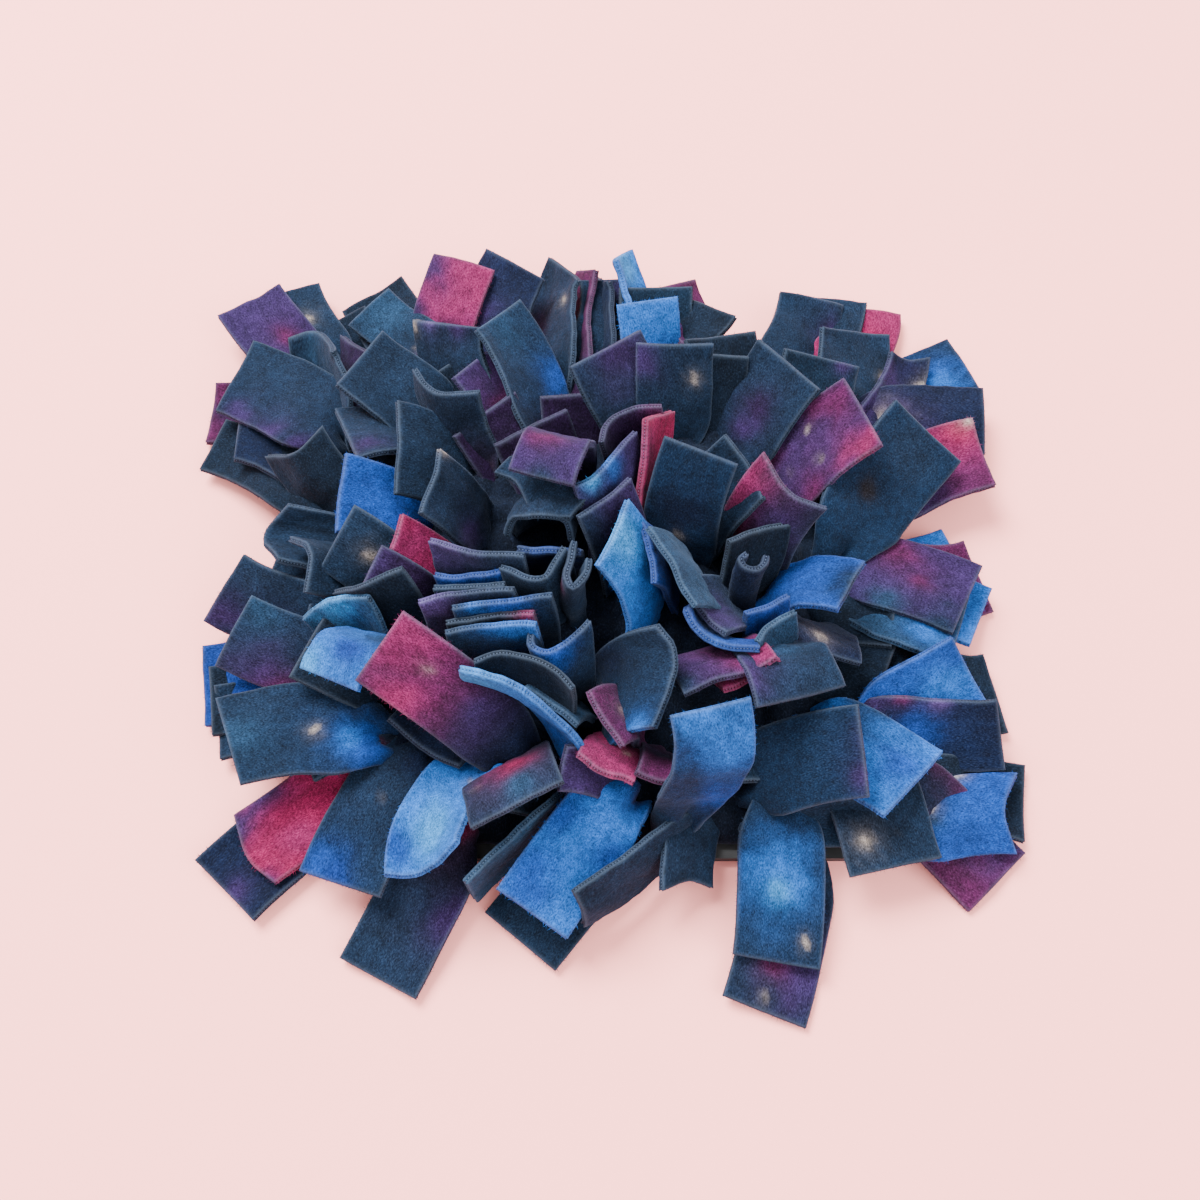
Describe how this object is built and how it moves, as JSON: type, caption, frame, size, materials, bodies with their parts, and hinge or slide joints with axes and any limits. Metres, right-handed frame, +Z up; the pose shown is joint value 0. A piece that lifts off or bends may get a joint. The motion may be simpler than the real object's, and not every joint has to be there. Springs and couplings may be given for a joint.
{
  "type": "snuffle mat",
  "caption": "Square dog foraging mat: soft strips of galaxy-dyed fleece knotted close together through a thin flat rubber base, their cut ends fanning out over its rim.",
  "frame": {"origin": "on the floor under the middle of the mat", "axes": "+Z up through the mat, +X to the right and +Y to the back as the mat lies"},
  "size_m": [0.3206, 0.3157, 0.0819],
  "materials": {
    "rubber": "matte black rubber",
    "fleece": "brushed fleece pile, tie-dyed navy, slate, violet, magenta and light blue"
  },
  "bodies": {
    "root": {"base_mat": "rubber", "fleece_strips": "fleece"}
  },
  "joints": []
}
